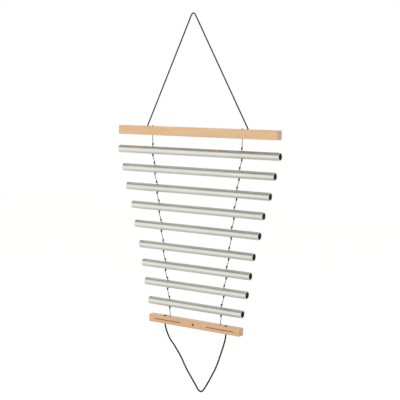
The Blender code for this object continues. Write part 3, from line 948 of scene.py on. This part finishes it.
def make_tube(number):
    """One tube with its cross holes drilled. Its length comes back."""
    node = f"tube_{number}"
    low, high = box_corners(node)
    centre = middle(node)
    hole_distance = middle(f"tube_knot_right_{number}")[0] - centre[0]
    outline = tube_outline((high[0] - low[0]) / 2, hole_distance)
    rings = turn_outline(centre, [(place, radius) for place, radius, _ in outline], TUBE_SIDES, 0)
    piece = join_rings(f"chime_{number}", rings, [tube_finish, bore_painted_shade_finish, rim_finish], closes=True)
    finish_index = np.repeat([index for _, _, index in outline], TUBE_SIDES)
    piece.data.polygons.foreach_set("material_index", finish_index)
    drills = []
    for side, sign in SIDES:
        column = turn_outline(centre + (sign * hole_distance, 0.0, 0.0), DRILL, HOLE_SIDES, 2)
        drills.append(join_rings(f"drill_{side}", column, [rim_finish]))
    cut_away(piece, drills)
    sharpen(piece, 25)
    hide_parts(node)
    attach(piece, node)
    return high[0] - low[0]


lengths = [make_tube(number) for number in range(1, TUBE_COUNT + 1)]
print("tubes of", [round(1000 * float(length), 1) for length in lengths], "mm")

# %% [markdown]
# ## Beech
# Beech is a plain, warm wood. What tells it is small: faint growth rings, short dark flecks
# along the grain where the rays come to the surface, and fine pores that are dots on the end
# grain. All of that is a pattern in the solid timber, so it is worked out from the place in
# space: noise that is stretched along the bar, and rings about a pith that lay outside it.
# The two scored lines were burnt in, and the wood is browned for half a millimetre beside them.

# %% Finishes of the bars
RING_SPACING = 0.0024
WANDER = 0.0045                                  # how far noise bends the growth rings
END_GRAIN = (0.46, 0.33, 0.23)
BROWNED = (0.34, 0.15, 0.045)
SCORCH = 0.0011                                  # how far from a scored line's middle the wood is browned
SCORCH_FADE = 0.0006                             # and over what length that fades
GROOVE_HEIGHT = 0.0016                           # of a scored line
GROOVE_DEPTH = 0.0006
GROOVE_INNER = 0.035                             # the scored lines' reach, from the ladder's middle
GROOVE_OUTER = 0.106
GROOVES = ((LADDER_MIDDLE - GROOVE_OUTER, LADDER_MIDDLE - GROOVE_INNER),
           (LADDER_MIDDLE + GROOVE_INNER, LADDER_MIDDLE + GROOVE_OUTER))
GROOVE_Z = middle("bottom_bar")[2]
FRONT_Y = BOTTOM_BAR_LOW[1]
FRONT_SKIN = 0.002                               # how deep behind the front face the browning goes


def browning(tree, x, y, z, pores, first, last):
    """How browned the wood is by a scored line from one X to another, on the front face alone.

    It depends on the distance to a level rod with round ends: the hypotenuse of the height off
    the rod and the way past its end. The pores make the edge ragged.
    """
    off = work_out(tree, "SUBTRACT", z, GROOVE_Z)
    along = work_out(tree, "ABSOLUTE", work_out(tree, "SUBTRACT", x, (first + last) / 2))
    past_end = work_out(tree, "SUBTRACT", along, (last - first - GROOVE_HEIGHT) / 2)
    away = hypotenuse(tree, work_out(tree, "MAXIMUM", past_end, 0.0), off)
    ragged = work_out(tree, "MULTIPLY_ADD", pores, SCORCH_FADE, away)
    near = rescale(tree, ragged, SCORCH, SCORCH + SCORCH_FADE, 0.6, 0.0)
    return work_out(tree, "MULTIPLY", near, work_out(tree, "LESS_THAN", y, FRONT_Y + FRONT_SKIN))


def make_beech(name, pith, light, dark, grooves=()):
    """Satin beech with its rings about a pith in Y and Z, flecks, pores and browning beside grooves."""
    finish, tree, shader = new_finish(name)
    place = object_place(tree)
    x, y, z = add_node(tree, "SeparateXYZ", place).outputs[:3]
    across = work_out(tree, "SUBTRACT", y, pith[0])
    upward = work_out(tree, "SUBTRACT", z, pith[1])
    from_pith = hypotenuse(tree, across, upward)
    wander = stretched_noise(tree, place, (7.0, 45.0, 45.0))
    from_pith = work_out(tree, "MULTIPLY_ADD", wander, WANDER, from_pith)
    ring = work_out(tree, "FRACT", work_out(tree, "DIVIDE", from_pith, RING_SPACING))
    pores = stretched_noise(tree, place, (260.0, 3800.0, 3800.0))
    clouds = stretched_noise(tree, place, (9.0, 60.0, 60.0))
    cells = add_node(tree, "TexVoronoi", stretched(tree, place, (260.0, 1500.0, 1500.0)))
    plug_named(tree, cells, {"Scale": 1.0})
    fleck = rescale(tree, cells.outputs["Distance"], 0.16, 0.26, 1.0, 0.0)
    tone = work_out(tree, "MULTIPLY_ADD", clouds, 0.8, -0.15)
    for pattern, strength in ((work_out(tree, "POWER", ring, 3.0), 0.30), (pores, 0.30), (fleck, 0.28)):
        tone = work_out(tree, "MULTIPLY_ADD", pattern, strength, tone)
    colour = blend_colours(tree, tone, light, dark)
    facing = add_node(tree, "SeparateXYZ", add_node(tree, "NewGeometry").outputs["Normal"]).outputs[0]
    end_grain = rescale(tree, work_out(tree, "ABSOLUTE", facing), 0.6, 0.95, 0.0, 0.55)
    colour = blend_colours(tree, end_grain, colour, END_GRAIN)
    for first, last in grooves:
        colour = blend_colours(tree, browning(tree, x, y, z, pores, first, last), colour, BROWNED)
    plug_named(tree, shader, {"Base Color": colour,
                              "Roughness": rescale(tree, tone, 0.2, 0.9, 0.18, 0.30)})
    set_bump(tree, shader, work_out(tree, "SUBTRACT", pores, fleck), 0.02 * METRES_A_MILLIMETRE)
    return finish


def make_scorched(name, light, dark):
    """Charred wood: dull, rough and mottled along the grain."""
    finish, tree, shader = new_finish(name)
    char = stretched_noise(tree, object_place(tree), (600.0, 2500.0, 2500.0), 3.0)
    plug_named(tree, shader, {"Base Color": blend_colours(tree, char, light, dark), "Roughness": 0.8,
                              "Specular IOR Level": 0.1})
    set_bump(tree, shader, char, 0.08 * METRES_A_MILLIMETRE)
    return finish


top_beech = make_beech("beech", (0.058, TOP_BAR_LOW[2] - 0.070),
                       (0.815, 0.555, 0.325), (0.62, 0.375, 0.185))
bottom_beech = make_beech("beech_with_burns", (-0.040, BOTTOM_BAR_LOW[2] - 0.085),
                          (0.765, 0.495, 0.275), (0.57, 0.32, 0.155), GROOVES)
scorched = make_scorched("scorched", (0.30, 0.125, 0.030), (0.17, 0.060, 0.010))
print("finishes for the top bar, the bottom bar and the scored lines")

# %% [markdown]
# ## The bars
# A square bar with rounded edges is a small box with a ball rolled over it. So a ring of the
# bar is the small box's square, moved out by the ball's reach there: the ball's radius times
# the cosine of an angle that runs over the end. At the end itself the reach is nothing.

# %% The bars' surface
BAR_ROUNDING = 0.0012
EDGE_STEPS = 5                                   # faces round an edge's quarter
LAST_ANGLE = 0.04                                # of the ring where a long face begins
END_FACE_REACH = 0.02                            # of the ring round an end's flat face, over the rounding


def bar_rings(low, high):
    """Rings of a bar along X: a square grown by a circle, smaller and smaller over either end."""
    half = (high - low) / 2 - BAR_ROUNDING
    quarter = np.linspace(0.0, np.pi / 2, EDGE_STEPS + 1)
    angle = np.concatenate([quarter + corner * np.pi / 2 for corner in range(4)])
    corner_y = np.repeat([1.0, -1.0, -1.0, 1.0], EDGE_STEPS + 1) * half[1]
    corner_z = np.repeat([1.0, 1.0, -1.0, -1.0], EDGE_STEPS + 1) * half[2]
    over_end = np.linspace(0.5 * np.pi, LAST_ANGLE, EDGE_STEPS + 1)
    over_ends = np.concatenate([over_end, over_end[::-1]])
    outward = np.repeat([-1.0, 1.0], EDGE_STEPS + 1)
    ring_x = outward * (half[0] + BAR_ROUNDING * np.sin(over_ends))
    reach = np.maximum(BAR_ROUNDING * np.cos(over_ends), END_FACE_REACH * BAR_ROUNDING)
    y = corner_y + reach[:, None] * np.cos(angle)
    z = corner_z + reach[:, None] * np.sin(angle)
    x = np.broadcast_to(ring_x[:, None], y.shape)
    return (low + high) / 2 + np.stack([x, y, z], axis=-1)


print("a bar has", 2 * (EDGE_STEPS + 1), "rings of", 4 * (EDGE_STEPS + 1), "points before it is cut")

# %% [markdown]
# ## Holes, pockets and scored lines
# Each cord's hole and its knot's pocket are one turned cutter, with its edges eased: a hole
# through the bar that widens to a pocket at one face. The scored lines are cut by a slim rod
# with round ends that lies half in the front face, and the dot between them by a dish.

# %% The cutters
HOLE_PLAY = 0.0005
POCKET_PLAY = 0.0006
SEAT_PLAY = 0.0003                               # between a knot and the bottom of its pocket
SOFTENED = 0.0003                                # the eased edge of a hole or pocket
PAST_FACE = 0.001                                # how far a cutter runs past the face that it cuts
SIDE_KNOT = 0.0022                               # the knots' radii in the solids
HANGING_KNOT = 0.0037
HANDLE_KNOT = 0.0041
GROOVE_SIDES = 20
GROOVE_END_RINGS = 9
GROOVE_TIP = 0.05                                # of the end ring's size, which a flat face closes
DOT_RADIUS = 0.0028
DOT_SIDES = 48
DOT_DEPTH = 0.0004
DOT_EDGE = 0.0001


def drilled(name, x, faces, radii, step_at, finish):
    """A cutter down through a bar: one radius above a step and another below, eased at both faces."""
    (lower, upper), (lower_radius, upper_radius) = faces, radii
    flare = SOFTENED + PAST_FACE
    column = [(lower - PAST_FACE, lower_radius + flare), (lower + SOFTENED, lower_radius),
              (step_at, lower_radius), (step_at, upper_radius),
              (upper - SOFTENED, upper_radius), (upper + PAST_FACE, upper_radius + flare)]
    return join_rings(name, turn_outline((x, 0.0, 0.0), column, HOLE_SIDES, 2), [finish])


def knot_seat(bar, knot_node, cord, knot, knot_half, above, finish):
    """The cutter for a cord and its knot, whose pocket is in the bar's upper face or under it."""
    lower, upper = box_corners(bar)[:, 2]
    hole, pocket = cord + HOLE_PLAY, knot + POCKET_PLAY
    if above:
        radii = (hole, pocket)
        step_at = upper + PROUD - 2 * knot_half - SEAT_PLAY
    else:
        radii = (pocket, hole)
        step_at = lower + HIDDEN + 2 * knot_half + SEAT_PLAY
    return drilled(f"{knot_node}_seat", middle(knot_node)[0], (lower, upper), radii, step_at, finish)


def scored_line(name, first, last):
    """A cutter for a burnt line: an ellipse carried along X, that closes over round ends."""
    over_end = np.linspace(0.5 * np.pi, 0.0, GROOVE_END_RINGS)
    run_out = GROOVE_HEIGHT / 2 * (1 - np.sin(over_end))
    x = np.concatenate([first + run_out, last - run_out[::-1]])
    fullness = np.maximum(GROOVE_TIP, np.cos(np.concatenate([over_end, over_end[::-1]])))
    angle = np.linspace(0.0, 2 * np.pi, GROOVE_SIDES, endpoint=False)
    y = FRONT_Y + GROOVE_DEPTH * fullness[:, None] * np.cos(angle)
    z = GROOVE_Z + GROOVE_HEIGHT / 2 * fullness[:, None] * np.sin(angle)
    rings = np.stack([np.broadcast_to(x[:, None], y.shape), y, z], axis=-1)
    return join_rings(name, rings, [scorched])


# each knot's name, its cord's radius, its own radius and half height, and whether it lies above
TOP_KNOTS = (("hanging_knot", HANGING_CORD, HANGING_KNOT, HANGING_KNOT_HALF, False),
             ("top_knot", SIDE_CORD, SIDE_KNOT, SIDE_KNOT_HALF, True))
BOTTOM_KNOTS = (("foot_knot", SIDE_CORD, SIDE_KNOT, SIDE_KNOT_HALF, False),
                ("handle_knot", HANDLE_CORD, HANDLE_KNOT, HANDLE_KNOT_HALF, True))
top_cutters = []
bottom_cutters = []
for side, _ in SIDES:
    for knot, *sizes in TOP_KNOTS:
        top_cutters.append(knot_seat("top_bar", f"{knot}_{side}", *sizes, top_beech))
    for knot, *sizes in BOTTOM_KNOTS:
        bottom_cutters.append(knot_seat("bottom_bar", f"{knot}_{side}", *sizes, bottom_beech))
for number, (first, last) in enumerate(GROOVES):
    bottom_cutters.append(scored_line(f"scored_line_{number}", first, last))
dish = [(-PAST_FACE, DOT_RADIUS), (DOT_DEPTH - DOT_EDGE, DOT_RADIUS),
        (DOT_DEPTH, DOT_RADIUS - 2 * DOT_EDGE)]
dish_rings = turn_outline((LADDER_MIDDLE, FRONT_Y, GROOVE_Z), dish, DOT_SIDES, 1)
bottom_cutters.append(join_rings("dot", dish_rings, [scorched]))
print(len(top_cutters), "cutters for the top bar and", len(bottom_cutters), "for the bottom bar")

# %% [markdown]
# The cutters are taken out of each bar in turn. Faces cut by a seat keep the beech, and faces
# cut by a scored line or the dot keep the scorched finish.

# %% The two bars
def make_bar(name, node, finish, cutters):
    """A bar along X with its cutters taken out."""
    piece = join_rings(name, bar_rings(*box_corners(node)), [finish])
    cut_away(piece, cutters)
    sharpen(piece, 35)
    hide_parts(node)
    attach(piece, node)
    print(f"{name}: {len(piece.data.polygons)} faces")


make_bar("top_rail", "top_bar", top_beech, top_cutters)
make_bar("bottom_rail", "bottom_bar", bottom_beech, bottom_cutters)

# %% [markdown]
# ## The studio
# The chimes hang in front of white. The world is white to the camera and to the metal's
# reflections, and lights everything else at a plain level. The floor is far below, pale, and
# still takes the shadow. What shapes the tubes is two grey cards out of sight, as in a photo
# studio: one high over the chimes and a lighter one low under them. The metal reflects them as
# its dark upper band and its duller lower edge, and nothing else sees them.

# %% World, floor, cards and lamp
WORLD_LEVEL = 0.88
FLOOR_HEIGHT = -1.5
FLOOR_SIZE = 14.0
FLOOR_LIFT = 0.30                                # brings the floor's own tone up to the white behind it
# each card's height, size, tone in the middle and outside, and the distances between which it changes
UPPER_CARD = (1.5, 11.0, 0.29, 0.97, 1.1, 5.2)
LOWER_CARD = (-1.3, 9.0, 0.59, 0.99, 0.0, 2.6)
LAMP_SIZE = 1.6
LAMP_WATTS = 14.0
LAMP_PLACE = (-0.4, -2.4, 0.2)
LAMP_TURN = (math.radians(78), 0.0, math.radians(-10))
BLACK = (0.0, 0.0, 0.0, 1.0)
WHITE = (1.0, 1.0, 1.0, 1.0)


def seen_directly(tree):
    """1 for rays from the camera, mirror rays and rays through glass, and 0 for the rest."""
    rays = add_node(tree, "LightPath").outputs
    mirrored = work_out(tree, "MAXIMUM", rays["Is Glossy Ray"], rays["Is Transmission Ray"])
    return work_out(tree, "MAXIMUM", rays["Is Camera Ray"], mirrored)


def from_upright(tree):
    """The distance from the upright through the origin: the length of X and Y alone."""
    place = object_place(tree)
    level = add_node(tree, "VectorMath", place, (1.0, 1.0, 0.0), operation="MULTIPLY").outputs[0]
    return add_node(tree, "VectorMath", level, operation="LENGTH").outputs["Value"]


def make_panel(name, size, height, finish):
    """A level square panel, facing up."""
    half = size / 2
    corners = np.array([(-half, -half), (half, -half), (half, half), (-half, half)])
    corners = np.column_stack([corners, np.full(4, height)])
    panel = make_piece(name, corners, [[0, 1, 2, 3]], [finish])
    return panel


def make_card(name, height, size, middle_tone, outer_tone, near, far):
    """A glowing card that only mirror rays meet, graded from its middle outwards."""
    finish, tree, shader = new_finish(name)
    tone = rescale(tree, from_upright(tree), near, far, 0.0, 1.0, interpolation_type="SMOOTHSTEP")
    strength = rescale(tree, tone, 0.0, 1.0, middle_tone, outer_tone)
    plug_named(tree, shader, {"Base Color": BLACK, "Specular IOR Level": 0.0,
                              "Emission Color": (1.0, 0.995, 0.95, 1.0), "Emission Strength": strength})
    card = make_panel(name, size, height, finish)
    card.visible_camera = False
    card.visible_diffuse = False
    card.visible_shadow = False


world = bpy.data.worlds.new("white_room")
bpy.context.scene.world = world
world.use_nodes = True
tree = world.node_tree
world_level = rescale(tree, seen_directly(tree), 0.0, 1.0, WORLD_LEVEL, 1.0)
plug_named(tree, tree.nodes["Background"], {"Color": WHITE, "Strength": world_level})

floor_finish, tree, shader = new_finish("pale_floor")
floor_glow = work_out(tree, "MULTIPLY", seen_directly(tree), FLOOR_LIFT)
plug_named(tree, shader, {"Base Color": (0.80, 0.80, 0.79, 1.0), "Roughness": 0.9,
                          "Specular IOR Level": 0.0, "Emission Color": WHITE,
                          "Emission Strength": floor_glow})
make_panel("floor", FLOOR_SIZE, FLOOR_HEIGHT, floor_finish)
make_card("upper_card", *UPPER_CARD)
make_card("lower_card", *LOWER_CARD)

lamp = bpy.data.objects.new("soft_lamp", bpy.data.lights.new("soft_lamp", "AREA"))
bpy.context.scene.collection.objects.link(lamp)
lamp.data.size = LAMP_SIZE
lamp.data.energy = LAMP_WATTS
lamp.location = LAMP_PLACE
lamp.rotation_euler = LAMP_TURN
lamp.visible_glossy = False
bpy.context.scene.view_settings.view_transform = "Standard"
print("a white room with its floor at", FLOOR_HEIGHT, "m, two cards and a lamp of", LAMP_WATTS, "watts")

# %% [markdown]
# ## Finish

# %% Finish
bpy.context.view_layer.update()
